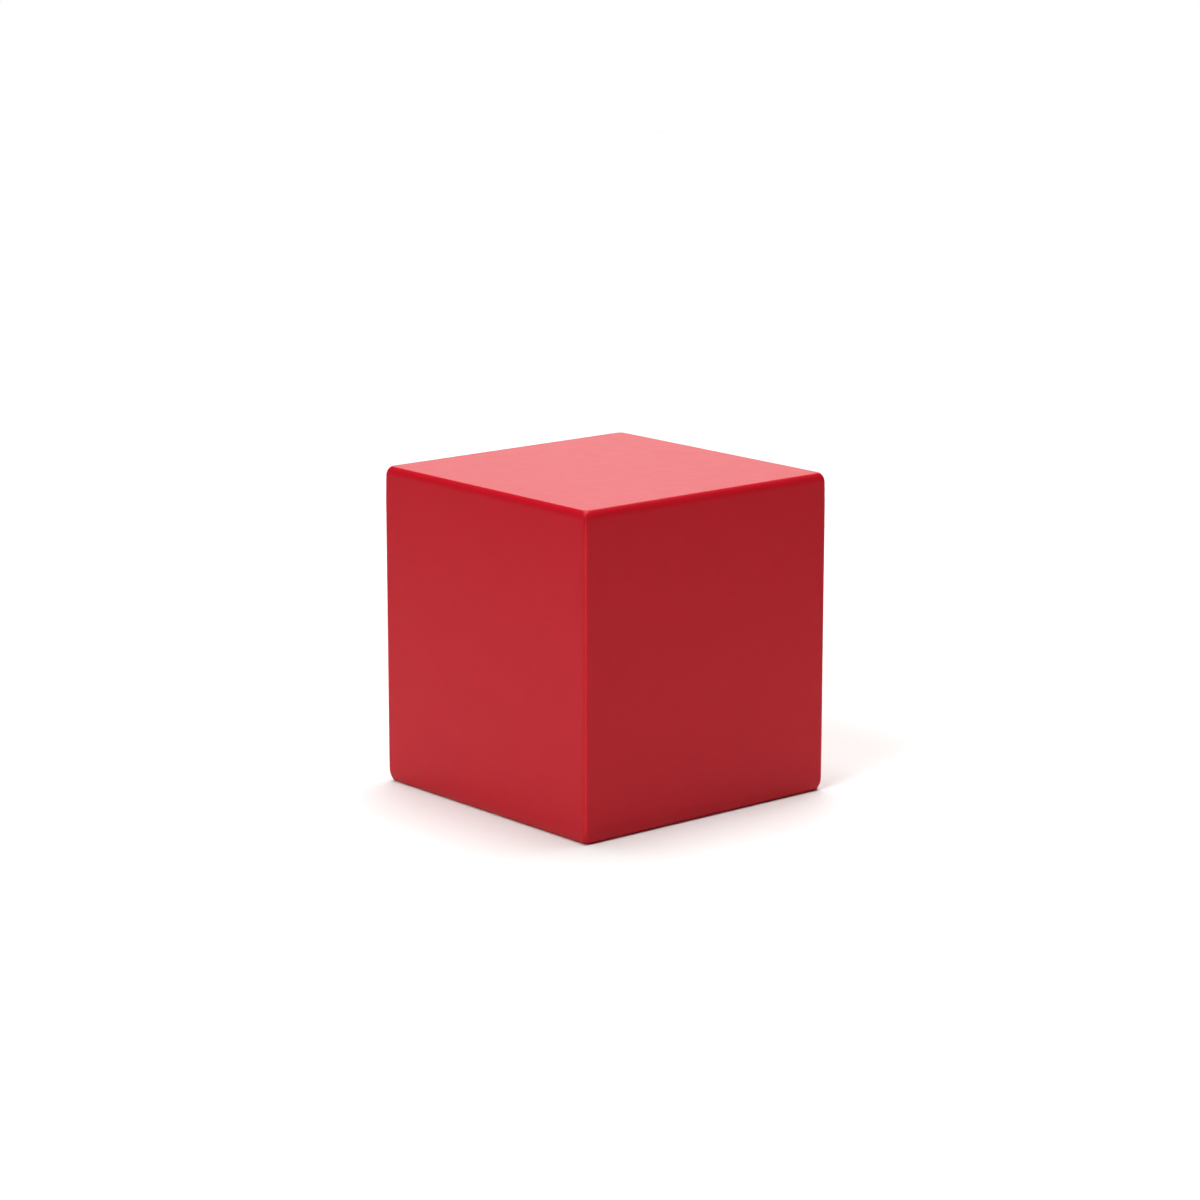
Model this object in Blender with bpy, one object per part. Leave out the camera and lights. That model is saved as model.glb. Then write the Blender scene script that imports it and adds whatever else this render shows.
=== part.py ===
"""Cue chalk cube: a pressed chalk block with a coated paper label pasted over five of its faces.

Metres, +Z up. The origin is the centre of the bare working face, which the cube stands on, and the
closed, labelled end is up. The label is one cross-shaped blank: its middle covers the closed end, and
its four flaps fold down the sides, butt together along the upright edges and turn in a little under
the working face's edges. The sides are flat but for a slight roll and taper inwards at either end.
"""

import math

import bmesh
import bpy
from mathutils import Matrix

MM = 0.001

# Driving dimensions
WIDTH = 22.2 * MM              # across the labelled sides, both ways
HEIGHT = 23.1 * MM             # from the working face to the top of the label
TOP_ROLL_IN = 0.34 * MM        # how far the sides roll in at the closed end
TOP_ROLL_HEIGHT = 0.70 * MM    # the height over which they do
TOP_TAPER_IN = 0.035 * MM      # and the faint taper below that roll
TOP_TAPER_HEIGHT = 3.0 * MM
BOTTOM_ROLL_IN = 0.48 * MM     # the same at the working face
BOTTOM_ROLL_HEIGHT = 1.15 * MM
BOTTOM_TAPER_IN = 0.01 * MM
BOTTOM_TAPER_HEIGHT = 3.0 * MM
UPRIGHT_RADIUS = 0.32 * MM     # of the upright edges, over the label
END_RADIUS = 0.40 * MM         # to which that grows at the corners of either end
LABEL_THICKNESS = 0.10 * MM
PASTE_THICKNESS = 0.03 * MM
LAYER_GAP = 0.005 * MM         # left between one layer and the next
LABEL_JOINT = 0.02 * MM        # between two flaps, along each upright edge
LABEL_RIM_HEIGHT = 0.04 * MM   # of the label's cut edge above the working face
PASTE_RIM_HEIGHT = 0.60 * MM   # the paste stops short of the label's cut edge
RECESS_DIAMETER = 15.5 * MM    # mouth of the cue tip recess
RECESS_DEPTH = 1.6 * MM

ROLL_SEGMENTS = 8              # facets up each roll
TAPER_SEGMENTS = 3             # facets up each taper
UPRIGHT_SEGMENTS = 4           # facets round each upright edge
RECESS_SEGMENTS = 48           # facets round the recess
RECESS_RINGS = 64              # from pole to pole of the recess's sphere
SMALLEST_RADIUS = 0.01 * MM

# Worked out from them
PASTE_DEPTH = LABEL_THICKNESS + LAYER_GAP
CHALK_DEPTH = PASTE_DEPTH + PASTE_THICKNESS + LAYER_GAP
RECESS_SPHERE_RADIUS = ((RECESS_DIAMETER / 2) ** 2 + RECESS_DEPTH ** 2) / (2 * RECESS_DEPTH)
TOP = (TOP_ROLL_IN, TOP_ROLL_HEIGHT, TOP_TAPER_IN, TOP_TAPER_HEIGHT)
BOTTOM = (BOTTOM_ROLL_IN, BOTTOM_ROLL_HEIGHT, BOTTOM_TAPER_IN, BOTTOM_TAPER_HEIGHT)


def clear_scene():
    for obj in list(bpy.data.objects):
        bpy.data.objects.remove(obj, do_unlink=True)


def new_collection(name):
    collection = bpy.data.collections.new(name)
    bpy.context.scene.collection.children.link(collection)
    return collection


def new_material(name, colour, roughness):
    material = bpy.data.materials.new(name)
    material.use_nodes = True
    shader = material.node_tree.nodes["Principled BSDF"]
    shader.inputs["Base Color"].default_value = (*colour, 1.0)
    shader.inputs["Roughness"].default_value = roughness
    shader.inputs["Metallic"].default_value = 0.0
    material.diffuse_color = (*colour, 1.0)
    return material


def add_object(name, bm, collection, material=None):
    mesh = bpy.data.meshes.new(name)
    bm.to_mesh(mesh)
    bm.free()
    if material:
        mesh.materials.append(material)
        mesh.shade_smooth()
        mesh.set_sharp_from_angle(angle=math.radians(30))
    obj = bpy.data.objects.new(name, mesh)
    collection.objects.link(obj)
    return obj


def end_profile(depth, end):
    """(inset, drop, corner radius) down from a flat end, `depth` inside the label's outer surface.

    That surface rolls over by a quarter of an ellipse and then tapers out to the full width, and the
    others are parallel to it.
    """
    roll_in, roll_height, taper_in, taper_height = end
    points = []
    for step in range(ROLL_SEGMENTS):
        turn = math.radians(90) * (1 - step / ROLL_SEGMENTS)
        across, up = roll_height * math.cos(turn), roll_in * math.sin(turn)
        points.append((roll_in * (1 - math.cos(turn)), roll_height * (1 - math.sin(turn)), across, up))
    for step in range(TAPER_SEGMENTS + 1):
        drop = roll_height + (taper_height - roll_height) * step / TAPER_SEGMENTS
        points.append((0.0, drop, 1.0, 0.0))
    profile = []
    for inset, drop, across, up in points:
        left = 1 - drop / taper_height
        inset += taper_in * left ** 2
        up += across * 2 * taper_in * left / taper_height
        steepness = math.hypot(across, up)
        inwards, downwards = depth * across / steepness, depth * up / steepness
        share = inset / (roll_in + taper_in)
        radius = UPRIGHT_RADIUS + (END_RADIUS - UPRIGHT_RADIUS) * share - inwards
        profile.append((inset + inwards, drop + downwards, max(radius, SMALLEST_RADIUS)))
    return profile


def cut_off(rings, height):
    """Drops the rings under this height, and starts with one at it."""
    for low, high in zip(rings, rings[1:]):
        if low[1] <= height < high[1]:
            share = (height - low[1]) / (high[1] - low[1])
            start = tuple(a + (b - a) * share for a, b in zip(low, high))
            return [start] + [ring for ring in rings if ring[1] > height]
    return rings


def surface_rings(depth, rim_height):
    """(inset, height, corner radius) of the rings up this surface, from its rim to the closed end.

    The outermost surface would reach as far below the working face as the layers are thick, so that
    the block inside all of them ends on the working face.
    """
    lower = [
        (inset, drop - CHALK_DEPTH, radius) for inset, drop, radius in end_profile(depth, BOTTOM)
    ]
    upper = [(inset, HEIGHT - drop, radius) for inset, drop, radius in end_profile(depth, TOP)]
    upper.reverse()
    return cut_off(lower + upper, rim_height)


def add_ring(bm, inset, height, radius):
    """The vertices of one rounded square."""
    middle = WIDTH / 2 - inset - radius
    ring = []
    for quarter in range(4):
        start = math.radians(90) * quarter
        centre_x = math.copysign(middle, math.cos(start + math.radians(45)))
        centre_y = math.copysign(middle, math.sin(start + math.radians(45)))
        for step in range(UPRIGHT_SEGMENTS + 1):
            turn = start + math.radians(90) * step / UPRIGHT_SEGMENTS
            ring.append(bm.verts.new((
                centre_x + radius * math.cos(turn),
                centre_y + radius * math.sin(turn),
                height,
            )))
    return ring


def bridge(bm, lower, upper):
    for index in range(len(lower)):
        after = (index + 1) % len(lower)
        bm.faces.new((lower[index], lower[after], upper[after], upper[index]))


def surface(bm, depth, rim_height):
    """One surface from its rim up and over the closed end. Returns the vertices of the rim."""
    rings = [add_ring(bm, *ring) for ring in surface_rings(depth, rim_height)]
    for lower, upper in zip(rings, rings[1:]):
        bridge(bm, lower, upper)
    bm.faces.new(rings[-1])
    return rings[0]


def add_layer(name, depth, thickness, rim_height, collection, material):
    """One open-bottomed skin over the block."""
    bm = bmesh.new()
    outer = surface(bm, depth, rim_height)
    inner = surface(bm, depth + thickness, rim_height)
    bridge(bm, outer, inner)
    bmesh.ops.recalc_face_normals(bm, faces=bm.faces[:])
    return add_object(name, bm, collection, material)


def cut(obj, cutter):
    boolean = obj.modifiers.new("cut " + cutter.name, "BOOLEAN")
    boolean.operation = "DIFFERENCE"
    boolean.solver = "EXACT"
    boolean.object = cutter


def hide_cutter(cutter):
    cutter.hide_render = True
    cutter.display_type = "WIRE"


def add_recess_cutter(collection):
    """The sphere whose cap is the cue tip recess."""
    bm = bmesh.new()
    bmesh.ops.create_uvsphere(
        bm, u_segments=RECESS_SEGMENTS, v_segments=RECESS_RINGS, radius=RECESS_SPHERE_RADIUS
    )
    cutter = add_object("recess_sphere", bm, collection)
    cutter.location.z = RECESS_DEPTH - RECESS_SPHERE_RADIUS
    hide_cutter(cutter)
    return cutter


def add_joint_cutter(collection):
    """Four thin upright blades, one across each upright edge, from below the rim to above the top.

    Each starts at the corner of the flat closed end, so that the flaps hang together there.
    """
    reach = 4 * UPRIGHT_RADIUS
    flat = WIDTH / 2 - TOP_ROLL_IN - TOP_TAPER_IN
    corner = math.sqrt(2) * flat - (math.sqrt(2) - 1) * END_RADIUS
    height = HEIGHT + 2 * BOTTOM_ROLL_HEIGHT
    blade = Matrix.Diagonal((reach, LABEL_JOINT, height, 1.0))
    outwards = Matrix.Translation((corner + reach / 2, 0, HEIGHT / 2))
    bm = bmesh.new()
    for quarter in range(4):
        turn = Matrix.Rotation(math.radians(45 + 90 * quarter), 4, "Z")
        bmesh.ops.create_cube(bm, size=1.0, matrix=turn @ outwards @ blade)
    cutter = add_object("flap_joints", bm, collection)
    hide_cutter(cutter)
    return cutter


def add_chalk_block(parts, cutters):
    bm = bmesh.new()
    bm.faces.new(surface(bm, CHALK_DEPTH, 0.0))
    bmesh.ops.recalc_face_normals(bm, faces=bm.faces[:])
    material = new_material("pressed_chalk", (0.42, 0.07, 0.075), 0.95)
    block = add_object("chalk_block", bm, parts, material)
    cut(block, add_recess_cutter(cutters))
    return block


def add_label_paste(parts):
    material = new_material("dry_paste", (0.78, 0.73, 0.60), 0.6)
    return add_layer("label_paste", PASTE_DEPTH, PASTE_THICKNESS, PASTE_RIM_HEIGHT, parts, material)


def add_paper_label(parts, cutters):
    material = new_material("coated_paper", (0.48, 0.012, 0.022), 0.4)
    label = add_layer("paper_label", 0.0, LABEL_THICKNESS, LABEL_RIM_HEIGHT, parts, material)
    cut(label, add_joint_cutter(cutters))
    return label


def main():
    clear_scene()
    parts = new_collection("cue_chalk_cube")
    cutters = new_collection("cutters")
    add_chalk_block(parts, cutters)
    add_label_paste(parts)
    add_paper_label(parts, cutters)


main()
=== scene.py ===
"""Looks of the cue chalk cube: a red coated paper label over a pressed chalk block, on a white floor.

The label and the block are built again here with fine meshes, from the sizes of their CAD nodes. The
paste film between them keeps its CAD shape. Metres, +Z up, with the frame's own origin.
"""

import math

import bmesh
import bpy
from mathutils import Matrix, Vector, noise


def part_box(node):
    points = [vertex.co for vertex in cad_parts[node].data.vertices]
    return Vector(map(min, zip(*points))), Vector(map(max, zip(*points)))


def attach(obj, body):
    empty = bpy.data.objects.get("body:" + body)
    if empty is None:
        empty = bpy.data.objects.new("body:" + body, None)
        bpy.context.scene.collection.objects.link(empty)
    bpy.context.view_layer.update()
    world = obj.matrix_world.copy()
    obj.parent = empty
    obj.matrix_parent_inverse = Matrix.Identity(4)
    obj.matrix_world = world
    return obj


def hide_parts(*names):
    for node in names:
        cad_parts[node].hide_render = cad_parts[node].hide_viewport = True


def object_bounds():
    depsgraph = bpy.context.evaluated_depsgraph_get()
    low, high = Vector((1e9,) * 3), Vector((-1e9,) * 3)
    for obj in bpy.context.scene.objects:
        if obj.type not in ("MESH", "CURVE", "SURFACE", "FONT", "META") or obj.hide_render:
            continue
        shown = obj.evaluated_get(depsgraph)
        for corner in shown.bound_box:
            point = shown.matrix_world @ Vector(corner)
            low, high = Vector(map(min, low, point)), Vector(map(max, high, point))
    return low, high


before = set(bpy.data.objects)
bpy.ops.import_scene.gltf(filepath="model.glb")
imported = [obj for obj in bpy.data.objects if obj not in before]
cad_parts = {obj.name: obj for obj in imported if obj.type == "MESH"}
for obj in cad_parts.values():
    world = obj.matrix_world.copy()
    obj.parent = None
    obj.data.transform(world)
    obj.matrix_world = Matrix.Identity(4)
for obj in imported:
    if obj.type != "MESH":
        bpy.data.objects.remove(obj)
cad_low, cad_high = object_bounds()

MM = 0.001

# Sizes that the frame gives
WIDTH = cad_high.x - cad_low.x
HEIGHT = cad_high.z
LABEL_RIM_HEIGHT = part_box("paper_label")[0].z
CHALK_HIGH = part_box("chalk_block")[1]
CHALK_INSET = HEIGHT - CHALK_HIGH.z

# Sizes of the CAD that no node's box gives. Rolls and tapers: how far in, and how high
TOP_ROLL = (0.34 * MM, 0.70 * MM)
TOP_TAPER = (0.035 * MM, 3.0 * MM)
BOTTOM_ROLL = (0.48 * MM, 1.15 * MM)
BOTTOM_TAPER = (0.01 * MM, 3.0 * MM)
UPRIGHT_RADIUS = 0.32 * MM
END_RADIUS = 0.40 * MM
LABEL_THICKNESS = 0.10 * MM
RECESS_DIAMETER = 15.5 * MM
RECESS_DEPTH = 1.6 * MM

# Finer than the CAD
ROLL_STEPS = 24
TAPER_STEPS = 6
HALF_CORNER_STEPS = 6
FLAT_STEPS = 20
FLAT_EDGE = 0.03 * MM          # a narrow row of faces beside each fold keeps the flats shaded flat
LABEL_JOINT = 0.003 * MM
SMALLEST_RADIUS = 0.01 * MM
SHARP_ANGLE = math.radians(35)

# Grain and chips of the chalk's working face
RING_POINTS = 480
RECESS_STEPS = 48
BORDER_STEPS = 24
GRAIN_DEPTH = 0.022 * MM
COARSE_GRAIN = 0.9 * MM
FINE_GRAIN = 0.22 * MM
EDGE_SHARE = 0.96              # of the half width: chips and sideways wear lie outside this
CHIPPED_HEIGHT = 0.4 * MM
CHIP_SIZE = 1.3 * MM
CHIP_DEPTH = 0.12 * MM
CHIP_RARITY = 0.15
SIDEWAYS_WEAR = 0.5            # of the depth of the grain there

# Camera
CAMERA_AZIMUTH = math.radians(49.696)
CAMERA_ELEVATION = math.radians(12.597)
CAMERA_ROLL = math.radians(0.012)
CAMERA_DISTANCE = 11.280 * HEIGHT
CAMERA_RIGHT = -0.0134 * HEIGHT
CAMERA_UP = 0.0882 * HEIGHT
CAMERA_LENS = 109.7
CAMERA_SENSOR = 36.0
CAMERA_NEAR = 0.01
CAMERA_FAR = 20.0

# Studio. Each softbox: degrees right of the camera, elevation, radius, brightness
SOFTBOXES = (
    (180.0, 19.0, 8.8, 2.26),   # low behind the cube
    (180.0, 81.1, 20.0, 7.98),  # overhead
    (-40.4, 51.8, 8.8, 12.8),   # the main light, front left
    (128.0, 59.7, 14.7, 1.0),   # back right
)
SOFTBOX_EDGE = 12.0
STUDIO_ABOVE = 0.0
STUDIO_BELOW = 0.59
HORIZON_BLUR = 0.01
FLOOR_HALF_WIDTH = 80 * MM
FLOOR_HALF_LENGTH = 600 * MM
FLOOR_TURN = math.radians(7.8)
FLOOR_WHITE = (0.85, 0.848, 0.835, 1.0)

# Coated paper
LABEL_RED = (0.562, 0.0084, 0.0193)
LABEL_RED_DEEP = (0.550, 0.0080, 0.0187)
# painted highlight: a paler red along the crests of the upright edges
LABEL_EDGE_HIGHLIGHT = (0.66, 0.018, 0.028)
LABEL_ROUGHNESS = 0.324
LABEL_ROUGHNESS_CHANGE = 0.012
LABEL_IOR = 1.224
# how wide the painted highlight along each upright edge is
EDGE_HIGHLIGHT_WIDTH = 0.06 * MM
MOTTLE_SIZE = 3.0 * MM
SHEEN_SIZE = 0.9 * MM
TOOTH_SIZE = 0.12 * MM
TOOTH_DEPTH = 0.0006 * MM
DUST_COLOUR = (0.62, 0.30, 0.30)
DUST_STRENGTH = 0.30
DUST_SPACING = 2.6 * MM
DUST_RADIUS = (0.008, 0.018)   # of the spacing: where a speck starts to fade, and where it ends
DUST_PATCH_SIZE = 5.0 * MM

# Paper core
CORE_DARK = (0.70, 0.63, 0.52)
CORE_PALE = (0.86, 0.81, 0.72)
CORE_IOR = 1.40
FIBRE_SIZE = 0.10 * MM
FIBRE_STRETCH = (1, 1, 0.35)
FIBRE_DEPTH = 0.01 * MM

# Pressed chalk
CHALK_DARK = (0.36, 0.045, 0.050)
CHALK_PALE = (0.47, 0.085, 0.085)
CHALK_POWDER = (0.60, 0.17, 0.16)
# painted shade: the darker red put into the pores
CHALK_PORE_SHADE = (0.20, 0.02, 0.022)
CHALK_IOR = 1.30
POWDER_AMOUNT = 0.55
PORE_AMOUNT = 0.75
GRAIN_SIZE = 0.11 * MM
POWDER_SIZE = 1.6 * MM
PORE_SPACING = 0.55 * MM
GRIT_SIZE = 0.09 * MM
GRIT_DEPTH = 0.03 * MM

# Dry paste
PASTE_DARK = (0.66, 0.55, 0.42)
PASTE_PALE = (0.82, 0.76, 0.62)
BRUSH_SIZE = 0.5 * MM
BRUSH_STRETCH = (1, 1, 0.12)
BRUSH_DEPTH = 0.01 * MM


# ---------------------------------------------------------------- node helpers

def new_material(name):
    material = bpy.data.materials.new(name)
    material.use_nodes = True
    nodes = material.node_tree.nodes
    nodes.clear()
    output = nodes.new("ShaderNodeOutputMaterial")
    shader = nodes.new("ShaderNodeBsdfPrincipled")
    material.node_tree.links.new(shader.outputs["BSDF"], output.inputs["Surface"])
    return material, shader


def link(tree, source, target):
    tree.links.new(source, target)


def object_coordinates(tree):
    return tree.nodes.new("ShaderNodeTexCoord").outputs["Object"]


def noise_texture(tree, size, detail=2.0, roughness=0.5, stretch=(1, 1, 1)):
    """A noise whose features are about `size` across, from 0 to 1."""
    mapping = tree.nodes.new("ShaderNodeMapping")
    mapping.inputs["Scale"].default_value = stretch
    link(tree, object_coordinates(tree), mapping.inputs["Vector"])
    texture = tree.nodes.new("ShaderNodeTexNoise")
    texture.inputs["Scale"].default_value = 1 / size
    texture.inputs["Detail"].default_value = detail
    texture.inputs["Roughness"].default_value = roughness
    link(tree, mapping.outputs["Vector"], texture.inputs["Vector"])
    return texture.outputs["Fac"]


def cell_texture(tree, spacing):
    """Cells about `spacing` across. Its Distance is from each cell's point, as a share of the spacing."""
    texture = tree.nodes.new("ShaderNodeTexVoronoi")
    texture.inputs["Scale"].default_value = 1 / spacing
    link(tree, object_coordinates(tree), texture.inputs["Vector"])
    return texture


def ranged(tree, value, from_low, from_high, to_low, to_high):
    node = tree.nodes.new("ShaderNodeMapRange")
    node.inputs["From Min"].default_value = from_low
    node.inputs["From Max"].default_value = from_high
    node.inputs["To Min"].default_value = to_low
    node.inputs["To Max"].default_value = to_high
    link(tree, value, node.inputs["Value"])
    return node.outputs["Result"]


def mixed(tree, factor, first, second):
    """A colour mix. first and second are colours or sockets."""
    node = tree.nodes.new("ShaderNodeMix")
    node.data_type = "RGBA"
    for socket, value in ((node.inputs["A"], first), (node.inputs["B"], second)):
        if isinstance(value, tuple):
            socket.default_value = (*value, 1.0)
        else:
            link(tree, value, socket)
    link(tree, factor, node.inputs["Factor"])
    return node.outputs["Result"]


def calculated(tree, operation, first, second):
    """One operation on two values, each a number or a socket."""
    node = tree.nodes.new("ShaderNodeMath")
    node.operation = operation
    for socket, value in zip(node.inputs, (first, second)):
        if isinstance(value, (int, float)):
            socket.default_value = value
        else:
            link(tree, value, socket)
    return node.outputs["Value"]


def bumped(tree, shader, height, distance):
    bump = tree.nodes.new("ShaderNodeBump")
    bump.inputs["Strength"].default_value = 1.0
    bump.inputs["Distance"].default_value = distance
    link(tree, height, bump.inputs["Height"])
    link(tree, bump.outputs["Normal"], shader.inputs["Normal"])


# ------------------------------------------------------------------- materials

def painted_edge_highlight(tree):
    """1 at the crests of the upright edges, where a paler red is painted in as a highlight, and 0 beside
    them.
    """
    position = tree.nodes.new("ShaderNodeSeparateXYZ")
    link(tree, object_coordinates(tree), position.inputs["Vector"])
    x = calculated(tree, "ABSOLUTE", position.outputs["X"], 0.0)
    y = calculated(tree, "ABSOLUTE", position.outputs["Y"], 0.0)
    out = calculated(tree, "ADD", x, y)
    crest = WIDTH - (2 - math.sqrt(2)) * UPRIGHT_RADIUS
    return ranged(tree, out, crest - EDGE_HIGHLIGHT_WIDTH, crest, 0.0, 1.0)


def dust(tree):
    """A few specks, only in patches."""
    fade, end = DUST_RADIUS
    specks = cell_texture(tree, DUST_SPACING)
    near = ranged(tree, specks.outputs["Distance"], end, fade, 0.0, DUST_STRENGTH)
    sparse = ranged(tree, noise_texture(tree, DUST_PATCH_SIZE), 0.52, 0.60, 0.0, 1.0)
    return calculated(tree, "MULTIPLY", near, sparse)


def coated_paper():
    """Plain red coated paper: satin, with a faint mottle, the coating's fine tooth, some dust and a
    painted highlight along the upright edges.
    """
    material, shader = new_material("coated_paper_red")
    tree = material.node_tree
    mottle = ranged(tree, noise_texture(tree, MOTTLE_SIZE, detail=4.0), 0.35, 0.65, 0.0, 1.0)
    base = mixed(tree, mottle, LABEL_RED_DEEP, LABEL_RED)
    dusty = mixed(tree, dust(tree), base, DUST_COLOUR)
    # paints a paler red along the upright edges' crests as a highlight
    link(tree, mixed(tree, painted_edge_highlight(tree), dusty, LABEL_EDGE_HIGHLIGHT), shader.inputs["Base Color"])
    sheen = noise_texture(tree, SHEEN_SIZE, detail=3.0)
    low, high = LABEL_ROUGHNESS - LABEL_ROUGHNESS_CHANGE, LABEL_ROUGHNESS + LABEL_ROUGHNESS_CHANGE
    link(tree, ranged(tree, sheen, 0.3, 0.7, low, high), shader.inputs["Roughness"])
    shader.inputs["IOR"].default_value = LABEL_IOR
    bumped(tree, shader, noise_texture(tree, TOOTH_SIZE, detail=3.0, roughness=0.6), TOOTH_DEPTH)
    return material


def paper_core():
    """The label's uncoated inner side and its cut edges."""
    material, shader = new_material("paper_core")
    tree = material.node_tree
    fibres = noise_texture(tree, FIBRE_SIZE, detail=5.0, roughness=0.65, stretch=FIBRE_STRETCH)
    link(tree, mixed(tree, fibres, CORE_DARK, CORE_PALE), shader.inputs["Base Color"])
    link(tree, ranged(tree, fibres, 0.2, 0.8, 0.82, 0.95), shader.inputs["Roughness"])
    shader.inputs["IOR"].default_value = CORE_IOR
    bumped(tree, shader, fibres, FIBRE_DEPTH)
    return material


def pressed_chalk():
    """Dead matt red chalk: fine grains, clouds of paler powder and sparse pores, dented in and darkened
    with painted shade.
    """
    material, shader = new_material("pressed_chalk_red")
    tree = material.node_tree
    grains = cell_texture(tree, GRAIN_SIZE).outputs["Color"]
    base = mixed(tree, ranged(tree, grains, 0.0, 1.0, 0.0, 1.0), CHALK_DARK, CHALK_PALE)
    clouds = noise_texture(tree, POWDER_SIZE, detail=6.0, roughness=0.6)
    powder = ranged(tree, clouds, 0.42, 0.68, 0.0, POWDER_AMOUNT)
    powdered = mixed(tree, powder, base, CHALK_POWDER)
    pore_points = cell_texture(tree, PORE_SPACING).outputs["Distance"]
    pore_dents_and_shade = ranged(tree, pore_points, 0.16, 0.05, 0.0, PORE_AMOUNT)
    # darkens the pores with painted shade
    link(tree, mixed(tree, pore_dents_and_shade, powdered, CHALK_PORE_SHADE), shader.inputs["Base Color"])
    link(tree, ranged(tree, powder, 0.0, POWDER_AMOUNT, 0.90, 1.0), shader.inputs["Roughness"])
    shader.inputs["IOR"].default_value = CHALK_IOR
    grit = noise_texture(tree, GRIT_SIZE, detail=6.0, roughness=0.7)
    bumped(tree, shader, calculated(tree, "SUBTRACT", grit, pore_dents_and_shade), GRIT_DEPTH)
    return material


def dry_paste():
    """The brushed film of dried paste between the label and the block."""
    material, shader = new_material("dry_paste")
    tree = material.node_tree
    brush = noise_texture(tree, BRUSH_SIZE, detail=4.0, stretch=BRUSH_STRETCH)
    link(tree, mixed(tree, brush, PASTE_DARK, PASTE_PALE), shader.inputs["Base Color"])
    link(tree, ranged(tree, brush, 0.3, 0.7, 0.5, 0.7), shader.inputs["Roughness"])
    bumped(tree, shader, brush, BRUSH_DEPTH)
    return material


def white_floor():
    material, shader = new_material("white_floor")
    shader.inputs["Base Color"].default_value = FLOOR_WHITE
    shader.inputs["Roughness"].default_value = 1.0
    shader.inputs["Specular IOR Level"].default_value = 0.0
    return material


# ------------------------------------------------- surfaces of both the label and the block

def mesh_object(name, bm, materials):
    mesh = bpy.data.meshes.new(name)
    bm.to_mesh(mesh)
    bm.free()
    for material in materials:
        mesh.materials.append(material)
    mesh.shade_smooth()
    mesh.set_sharp_from_angle(angle=SHARP_ANGLE)
    obj = bpy.data.objects.new(name, mesh)
    bpy.context.scene.collection.objects.link(obj)
    return obj


def end_profile(depth, roll, taper):
    """(inset, drop, corner radius) down from a flat end, `depth` inside the label's outer surface.

    That surface rolls over by a quarter of an ellipse and then tapers out to the full width. roll and
    taper are how far in each goes, and how high.
    """
    (roll_in, roll_height), (taper_in, taper_height) = roll, taper
    points = []
    for step in range(ROLL_STEPS):
        turn = math.radians(90) * (1 - step / ROLL_STEPS)
        across, up = roll_height * math.cos(turn), roll_in * math.sin(turn)
        points.append((roll_in * (1 - math.cos(turn)), roll_height * (1 - math.sin(turn)), across, up))
    for step in range(TAPER_STEPS + 1):
        drop = roll_height + (taper_height - roll_height) * step / TAPER_STEPS
        points.append((0.0, drop, 1.0, 0.0))
    profile = []
    for inset, drop, across, up in points:
        left = 1 - drop / taper_height
        inset += taper_in * left ** 2
        up += across * 2 * taper_in * left / taper_height
        steepness = math.hypot(across, up)
        inwards, downwards = depth * across / steepness, depth * up / steepness
        rolled = inset / (roll_in + taper_in)
        radius = UPRIGHT_RADIUS + (END_RADIUS - UPRIGHT_RADIUS) * rolled - inwards
        profile.append((inset + inwards, drop + downwards, max(radius, SMALLEST_RADIUS)))
    return profile


def cut_off(rings, height):
    """Drops the rings under this height, and starts with one at it."""
    for low, high in zip(rings, rings[1:]):
        if low[1] <= height < high[1]:
            share = (height - low[1]) / (high[1] - low[1])
            start = tuple(a + (b - a) * share for a, b in zip(low, high))
            return [start] + [ring for ring in rings if ring[1] > height]
    return rings


def side_rings(depth, rim_height):
    """(inset, height, corner radius) up this surface's sides, from its rim to the flat closed end."""
    lower = end_profile(depth, BOTTOM_ROLL, BOTTOM_TAPER)
    upper = reversed(end_profile(depth, TOP_ROLL, TOP_TAPER))
    lower = [(inset, drop - CHALK_INSET, radius) for inset, drop, radius in lower]
    upper = [(inset, HEIGHT - drop, radius) for inset, drop, radius in upper]
    inset, bottom, radius = lower[-1]
    top = upper[0][1]
    flat = [bottom + (top - bottom) * step / FLAT_STEPS for step in range(1, FLAT_STEPS)]
    return cut_off(lower + [(inset, height, radius) for height in flat] + upper, rim_height)


def end_rings(depth):
    """The same from the edge of the flat closed end inwards, to just short of its middle."""
    inset, drop, radius = end_profile(depth, TOP_ROLL, TOP_TAPER)[0]
    half = WIDTH / 2 - inset
    steps = FLAT_STEPS // 2
    shares = [FLAT_EDGE / half] + [step / steps for step in range(1, steps)]
    return [(inset + half * share, HEIGHT - drop, radius * (1 - share)) for share in shares]


# -------------------------------------------------------------- the paper label

def flap_row(inset, height, radius, joint):
    """Points across one flap that faces +X, from the joint on its right to the joint on its left."""
    half = WIDTH / 2 - inset
    middle = half - radius
    corner = []
    for step in range(HALF_CORNER_STEPS + 1):
        turn = math.radians(45) * step / HALF_CORNER_STEPS
        corner.append((middle + radius * math.cos(turn), middle + radius * math.sin(turn)))
    aside = joint * math.sqrt(0.125)
    corner[-1] = (corner[-1][0] + aside, corner[-1][1] - aside)
    edge = middle - FLAT_EDGE * half / (WIDTH / 2)
    side = [(half, edge)]
    side += [(half, edge - 2 * edge * step / FLAT_STEPS) for step in range(1, FLAT_STEPS)]
    side += [(half, -edge)]
    row = list(reversed(corner)) + side + [(x, -y) for x, y in corner]
    return [Vector((x, y, height)) for x, y in reversed(row)]


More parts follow.
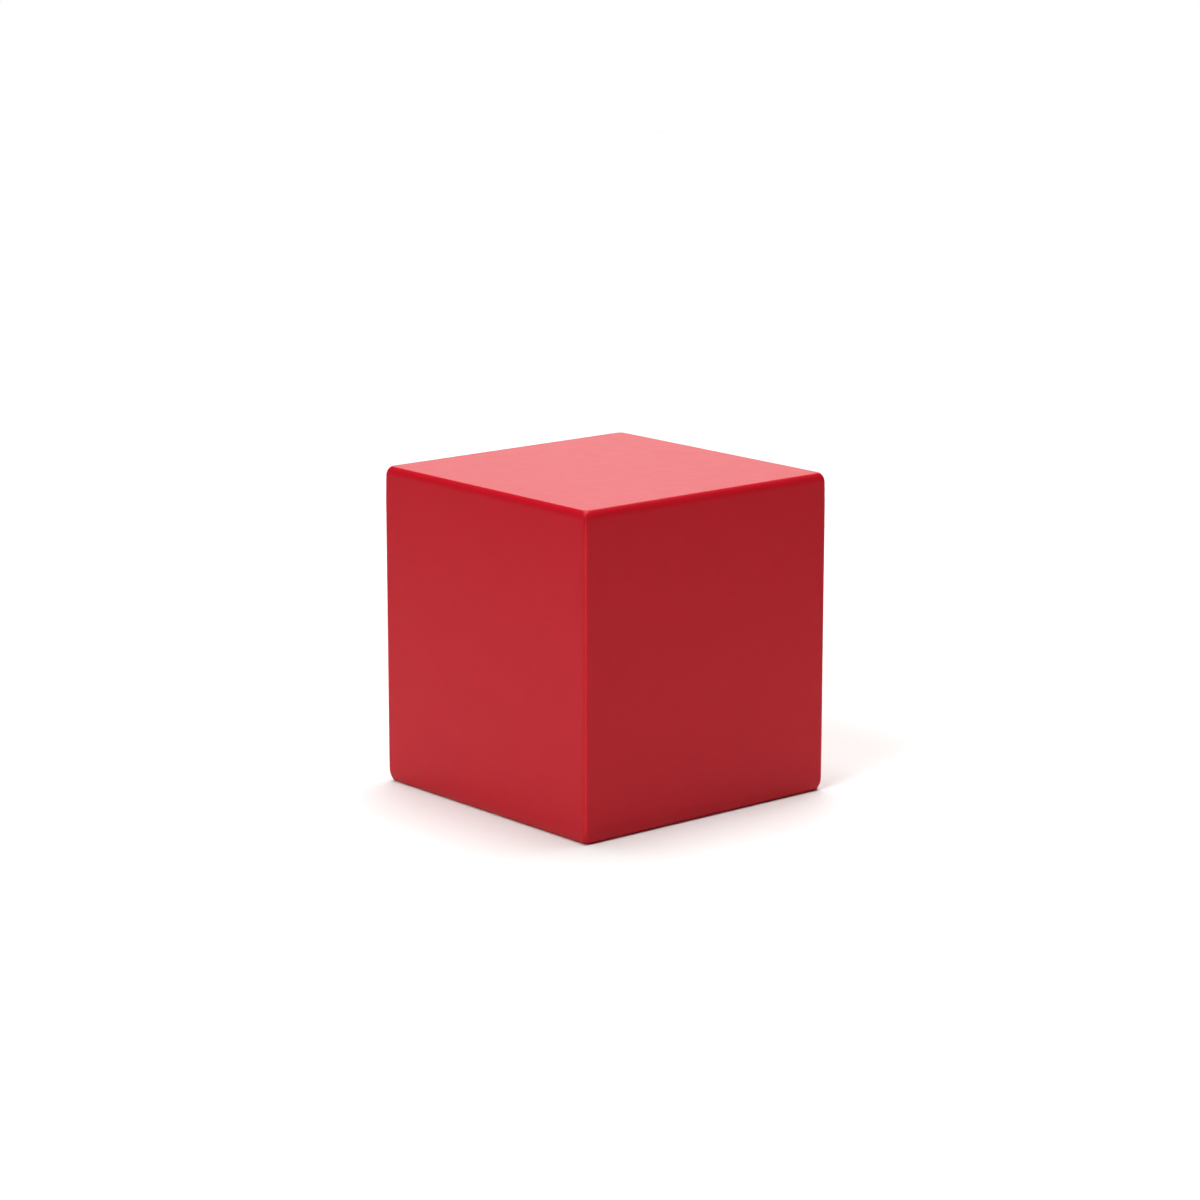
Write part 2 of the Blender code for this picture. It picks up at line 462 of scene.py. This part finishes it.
def label_skin(bm, flap, depth):
    """One side of the label over one of its flaps and the quarter of the closed end next to it."""
    turn = Matrix.Rotation(math.radians(90 * flap), 3, "Z")
    rows = []
    sides = side_rings(depth, LABEL_RIM_HEIGHT)
    for ring in sides[:-1]:
        rows.append([bm.verts.new(turn @ point) for point in flap_row(*ring, LABEL_JOINT)])
    for ring in [sides[-1]] + end_rings(depth):
        rows.append([bm.verts.new(turn @ point) for point in flap_row(*ring, 0.0)])
    for lower, upper in zip(rows, rows[1:]):
        for index in range(len(lower) - 1):
            bm.faces.new((lower[index], lower[index + 1], upper[index + 1], upper[index]))
    middle = bm.verts.new((0, 0, rows[-1][0].co.z))
    for index in range(len(rows[-1]) - 1):
        bm.faces.new((rows[-1][index], rows[-1][index + 1], middle))
    return rows, len(sides)


def flap_border(rows, folded):
    """Down one joint from the closed end, along the rim and up the other joint."""
    down = [row[0] for row in reversed(rows[:folded])]
    up = [row[-1] for row in rows[:folded]]
    return down + rows[0][1:-1] + up


def close_flap(bm, outer, inner, folded):
    """The flap's cut edges."""
    outside = flap_border(outer, folded)
    inside = flap_border(inner, folded)
    for index in range(len(outside) - 1):
        bm.faces.new((outside[index], outside[index + 1], inside[index + 1], inside[index]))


def build_label():
    """The folded label, coated on its outer side only."""
    bm = bmesh.new()
    for flap in range(4):
        outer, folded = label_skin(bm, flap, 0.0)
        coated = len(bm.faces)
        inner, _ = label_skin(bm, flap, LABEL_THICKNESS)
        close_flap(bm, outer, inner, folded)
        for face in list(bm.faces)[coated:]:
            face.material_index = 1
    bmesh.ops.remove_doubles(bm, verts=bm.verts[:], dist=LABEL_JOINT / 10)
    bmesh.ops.recalc_face_normals(bm, faces=bm.faces[:])
    label = mesh_object("paper_label_folded", bm, [coated_paper(), paper_core()])
    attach(label, "root")
    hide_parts("paper_label")


# -------------------------------------------------------------- the chalk block

def outline_point(half_width, corner_radius, squareness, angle):
    """A point at this angle on an outline that goes from a circle (0) to a rounded square (1)."""
    towards = Vector((math.cos(angle), math.sin(angle)))
    circle = towards * half_width
    reach = max(abs(towards.x), abs(towards.y))
    square = towards * (half_width / reach)
    core = half_width - corner_radius
    if min(abs(square.x), abs(square.y)) > core:
        centre = Vector((math.copysign(core, square.x), math.copysign(core, square.y)))
        along = towards.dot(centre)
        inside = along * along - centre.length_squared + corner_radius ** 2
        square = towards * (along + math.sqrt(max(inside, 0.0)))
    return circle.lerp(square, squareness)


def chalk_rings():
    """(half width, corner radius, squareness, height), from the recess's middle to the closed end's."""
    mouth = RECESS_DIAMETER / 2
    sphere = (mouth ** 2 + RECESS_DEPTH ** 2) / (2 * RECESS_DEPTH)
    sides = side_rings(CHALK_INSET, 0.0)
    flat, corner = WIDTH / 2 - sides[0][0], sides[0][2]
    rings = []
    for step in range(1, RECESS_STEPS + 1):
        reach = mouth * step / RECESS_STEPS
        rings.append((reach, 0.0, 0.0, RECESS_DEPTH - sphere + math.sqrt(sphere ** 2 - reach ** 2)))
    for step in range(1, BORDER_STEPS):
        share = step / BORDER_STEPS
        rings.append((mouth + (flat - mouth) * share, corner * share, share, 0.0))
    for inset, height, radius in sides + end_rings(CHALK_INSET):
        rings.append((WIDTH / 2 - inset, radius, 1.0, height))
    return rings


def chalk_grain(point):
    """How far the pressed surface lies inside its own outline at this point."""
    coarse = noise.fractal(point / COARSE_GRAIN, 0.6, 2.1, 4)
    fine = noise.noise(point / FINE_GRAIN)
    return GRAIN_DEPTH * max(0.0, 0.5 + 0.5 * coarse + 0.5 * fine)


def roughened(point):
    """Moves a point of the working face or its edge into the block by the depth of the grain there."""
    if point.z > RECESS_DEPTH + CHALK_INSET:
        return point
    at_edge = max(abs(point.x), abs(point.y)) / CHALK_HIGH.x > EDGE_SHARE
    depth = chalk_grain(point)
    if at_edge and point.z < CHIPPED_HEIGHT:
        depth += CHIP_DEPTH * max(0.0, noise.noise(point / CHIP_SIZE) - CHIP_RARITY)
    moved = point.copy()
    moved.z += depth
    if at_edge:
        moved.x -= math.copysign(SIDEWAYS_WEAR * depth, point.x)
        moved.y -= math.copysign(SIDEWAYS_WEAR * depth, point.y)
    return moved


def build_chalk():
    bm = bmesh.new()
    loops = []
    for half_width, corner, squareness, height in chalk_rings():
        loop = []
        for index in range(RING_POINTS):
            flat = outline_point(half_width, corner, squareness, math.tau * index / RING_POINTS)
            loop.append(bm.verts.new(roughened(Vector((flat.x, flat.y, height)))))
        loops.append(loop)
    for inner, outer in zip(loops, loops[1:]):
        for index in range(RING_POINTS):
            after = (index + 1) % RING_POINTS
            bm.faces.new((inner[index], inner[after], outer[after], outer[index]))
    for loop, height in ((loops[0], RECESS_DEPTH), (loops[-1], CHALK_HIGH.z)):
        middle = bm.verts.new((0, 0, height))
        for index in range(RING_POINTS):
            bm.faces.new((middle, loop[index], loop[(index + 1) % RING_POINTS]))
    bmesh.ops.recalc_face_normals(bm, faces=bm.faces[:])
    chalk = mesh_object("chalk_block_pressed", bm, [pressed_chalk()])
    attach(chalk, "root")
    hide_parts("chalk_block")


def finish_paste():
    """The paste keeps its CAD mesh."""
    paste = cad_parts["label_paste"]
    paste.data.materials.clear()
    paste.data.materials.append(dry_paste())


# ------------------------------------------------------------ floor, light, camera

def build_floor():
    """A strip of white paper, laid nearly along the camera's line of sight."""
    bm = bmesh.new()
    turn = Matrix.Rotation(CAMERA_AZIMUTH + FLOOR_TURN, 4, "Z")
    strip = Matrix.Diagonal((FLOOR_HALF_WIDTH, FLOOR_HALF_LENGTH, 1.0, 1.0))
    bmesh.ops.create_grid(bm, x_segments=1, y_segments=1, size=1.0, matrix=turn @ strip)
    floor = mesh_object("floor", bm, [white_floor()])


def direction(azimuth, elevation):
    """Outwards at this azimuth, from -Y anticlockwise as seen from above, and this elevation."""
    flat = math.cos(elevation)
    return Vector((math.sin(azimuth) * flat, -math.cos(azimuth) * flat, math.sin(elevation)))


def softbox(tree, view, turn, elevation, radius, strength):
    """A round, soft-edged patch of light in the sky of the studio."""
    facing = tree.nodes.new("ShaderNodeVectorMath")
    facing.operation = "DOT_PRODUCT"
    facing.inputs[1].default_value = direction(
        CAMERA_AZIMUTH + math.radians(turn), math.radians(elevation)
    )
    link(tree, view, facing.inputs[0])
    patch = tree.nodes.new("ShaderNodeMapRange")
    patch.interpolation_type = "SMOOTHSTEP"
    patch.inputs["From Min"].default_value = math.cos(math.radians(radius + SOFTBOX_EDGE / 2))
    patch.inputs["From Max"].default_value = math.cos(math.radians(radius - SOFTBOX_EDGE / 2))
    patch.inputs["To Max"].default_value = strength
    link(tree, facing.outputs["Value"], patch.inputs["Value"])
    return patch.outputs["Result"]


def build_world():
    """A dark studio with soft round lights, which the camera itself sees as plain white."""
    world = bpy.data.worlds.new("white_studio")
    bpy.context.scene.world = world
    world.use_nodes = True
    tree = world.node_tree
    background = tree.nodes["Background"]
    view = tree.nodes.new("ShaderNodeTexCoord").outputs["Generated"]
    height = tree.nodes.new("ShaderNodeSeparateXYZ")
    link(tree, view, height.inputs["Vector"])
    light = ranged(tree, height.outputs["Z"], -HORIZON_BLUR, HORIZON_BLUR, STUDIO_BELOW, STUDIO_ABOVE)
    for box in SOFTBOXES:
        light = calculated(tree, "ADD", light, softbox(tree, view, *box))
    camera_ray = tree.nodes.new("ShaderNodeLightPath").outputs["Is Camera Ray"]
    seen = tree.nodes.new("ShaderNodeMix")
    link(tree, camera_ray, seen.inputs["Factor"])
    link(tree, light, seen.inputs["A"])
    seen.inputs["B"].default_value = 1.0
    link(tree, seen.outputs["Result"], background.inputs["Strength"])
    background.inputs["Color"].default_value = (1, 1, 1, 1)


def build_camera():
    data = bpy.data.cameras.new("camera")
    data.lens = CAMERA_LENS
    data.sensor_width = CAMERA_SENSOR
    data.clip_start = CAMERA_NEAR
    data.clip_end = CAMERA_FAR
    camera = bpy.data.objects.new("camera", data)
    bpy.context.scene.collection.objects.link(camera)
    back = direction(CAMERA_AZIMUTH, CAMERA_ELEVATION)
    level = Vector((math.cos(CAMERA_AZIMUTH), math.sin(CAMERA_AZIMUTH), 0))
    upright = back.cross(level)
    right = level * math.cos(CAMERA_ROLL) + upright * math.sin(CAMERA_ROLL)
    up = upright * math.cos(CAMERA_ROLL) - level * math.sin(CAMERA_ROLL)
    target = Vector((0, 0, HEIGHT / 2))
    place = target + back * CAMERA_DISTANCE + right * CAMERA_RIGHT + up * CAMERA_UP
    camera.matrix_world = Matrix.Translation(place) @ Matrix((right, up, back)).transposed().to_4x4()
    bpy.context.scene.camera = camera


build_camera()
build_floor()
build_world()
build_label()
build_chalk()
finish_paste()
bpy.context.scene.view_settings.view_transform = "Standard"
